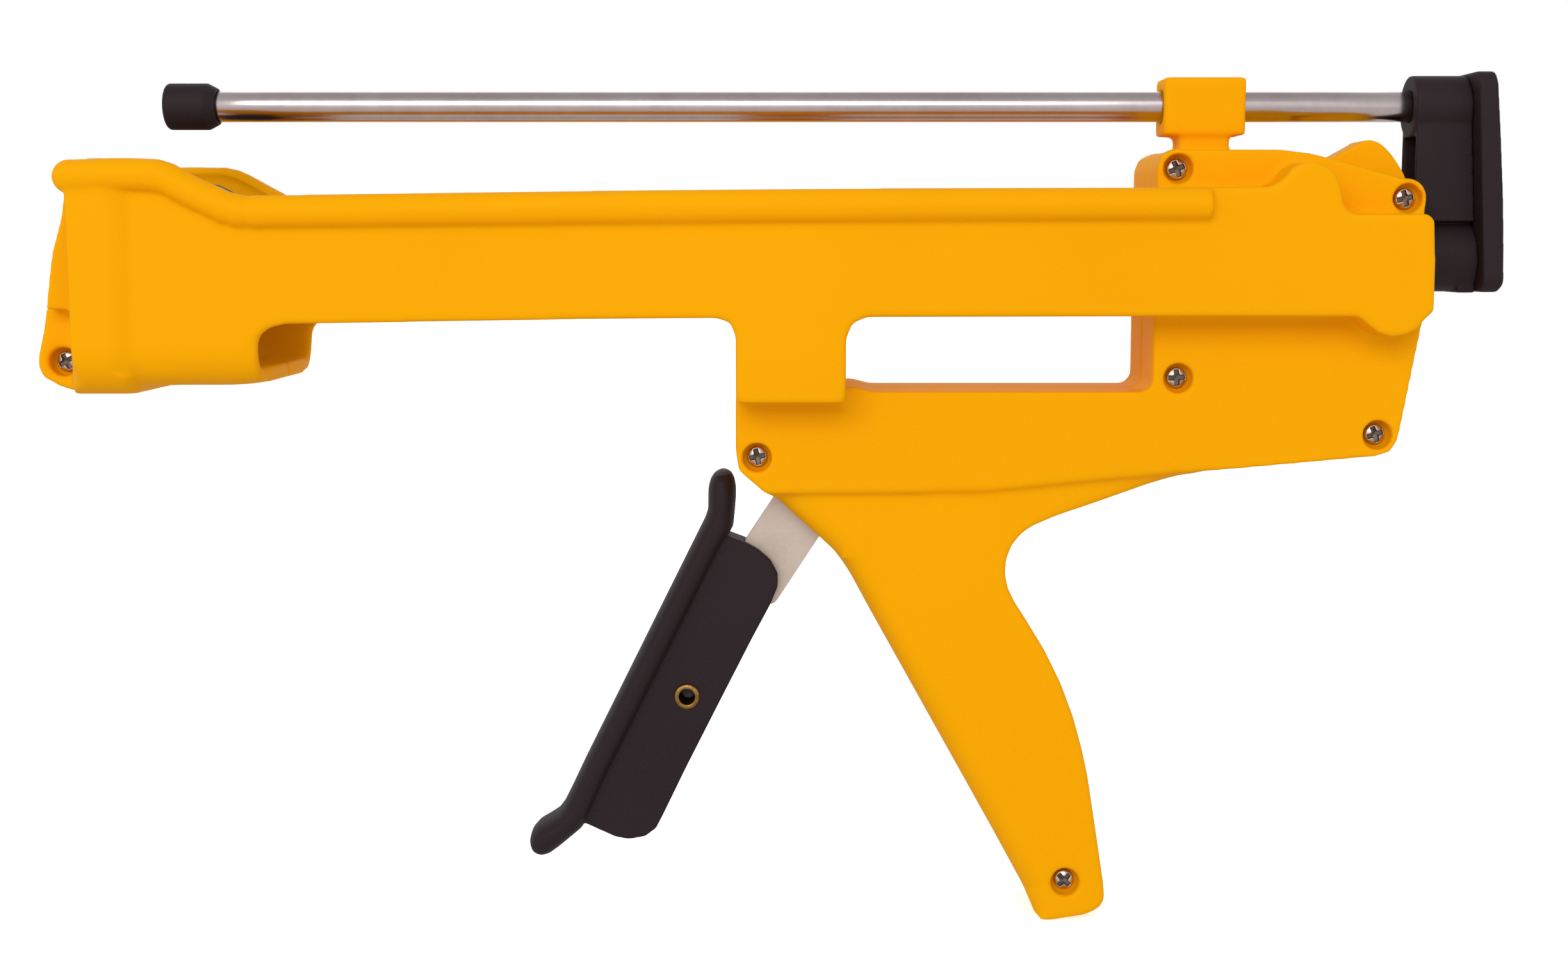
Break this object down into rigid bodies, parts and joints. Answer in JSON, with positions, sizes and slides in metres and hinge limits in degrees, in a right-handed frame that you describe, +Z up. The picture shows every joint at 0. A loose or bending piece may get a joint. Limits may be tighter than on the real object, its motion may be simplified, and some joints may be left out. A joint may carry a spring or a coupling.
{
  "type": "twin-cartridge dispensing gun",
  "caption": "Hand-squeezed dispensing gun with an open cradle, two joined push rods with pistons, a finger trigger, a thumb release and a raked grip.",
  "frame": {"origin": "on the main push rod's axis, in the inner face of the steel nose plate, where the cartridge seats", "axes": "+X from the nose to the rear pull plate along the push rods, +Y to the tool's right side, +Z up"},
  "size_m": [0.3836, 0.0696, 0.2253],
  "materials": {
    "body_plastic": "moulded, fine texture",
    "black_plastic": "moulded, matt",
    "rod_chrome": "hard chrome, ground",
    "zinc_steel": "zinc plated",
    "screw_steel": "bright zinc",
    "spring_steel": "drawn wire",
    "hard_steel": "blackened, hardened",
    "bush_plastic": "acetal",
    "rivet_brass": "bright"
  },
  "bodies": {
    "housing": {"left_shell": "body_plastic", "right_shell": "body_plastic", "nose_plate": "zinc_steel", "case_screws": "screw_steel", "front_bush": "bush_plastic", "rear_bush": "bush_plastic", "trigger_pivot_pin": "hard_steel", "release_pin": "hard_steel", "drive_spring": "spring_steel", "brake_spring": "spring_steel"},
    "trigger": {"trigger_lever": "zinc_steel", "trigger_cover": "black_plastic", "trigger_rivet": "rivet_brass", "link_pin": "hard_steel"},
    "drive": {"link_bars": "zinc_steel", "drive_pin": "hard_steel", "drive_plate": "hard_steel"},
    "rods": {"main_rod": "rod_chrome", "main_piston": "black_plastic", "piston_screw": "screw_steel", "small_rod": "rod_chrome", "small_piston": "black_plastic", "rear_bridge": "black_plastic", "rear_cap": "black_plastic", "rod_nuts": "screw_steel", "cap_screws": "screw_steel"},
    "release": {"release_lever": "body_plastic"},
    "brake": {"brake_plate": "hard_steel"}
  },
  "joints": [
    {"name": "trigger_pull", "type": "hinge", "parent": "housing", "child": "trigger", "pos_m": [0.1971, 0, -0.0515], "axis": [0, -1, 0], "range_deg": [0, 24], "stiffness_Nm_per_rad": 2, "springref_deg": -8.59},
    {"name": "drive_slide", "type": "slide", "parent": "housing", "child": "drive", "axis": [-1, 0, 0], "range_m": [0, 0.0038], "deforming": ["drive_spring"]},
    {"name": "rod_slide", "type": "slide", "parent": "housing", "child": "rods", "axis": [1, 0, 0], "range_m": [0, 0.23]},
    {"name": "release_press", "type": "hinge", "parent": "housing", "child": "release", "pos_m": [0.3145, 0, 0.017], "axis": [0, 1, 0], "range_deg": [0, 7], "stiffness_Nm_per_rad": 0.4, "springref_deg": -8.59},
    {"name": "brake_tilt", "type": "hinge", "parent": "housing", "child": "brake", "pos_m": [0.3295, 0, -0.014], "axis": [0, -1, 0], "range_deg": [0, 3], "deforming": ["brake_spring"]}
  ],
  "couplings": [
    {"joint": "drive_slide", "follows": "trigger_pull", "m_per_rad": 0.0087},
    {"joint": "brake_tilt", "follows": "release_press", "ratio": 0.34}
  ]
}
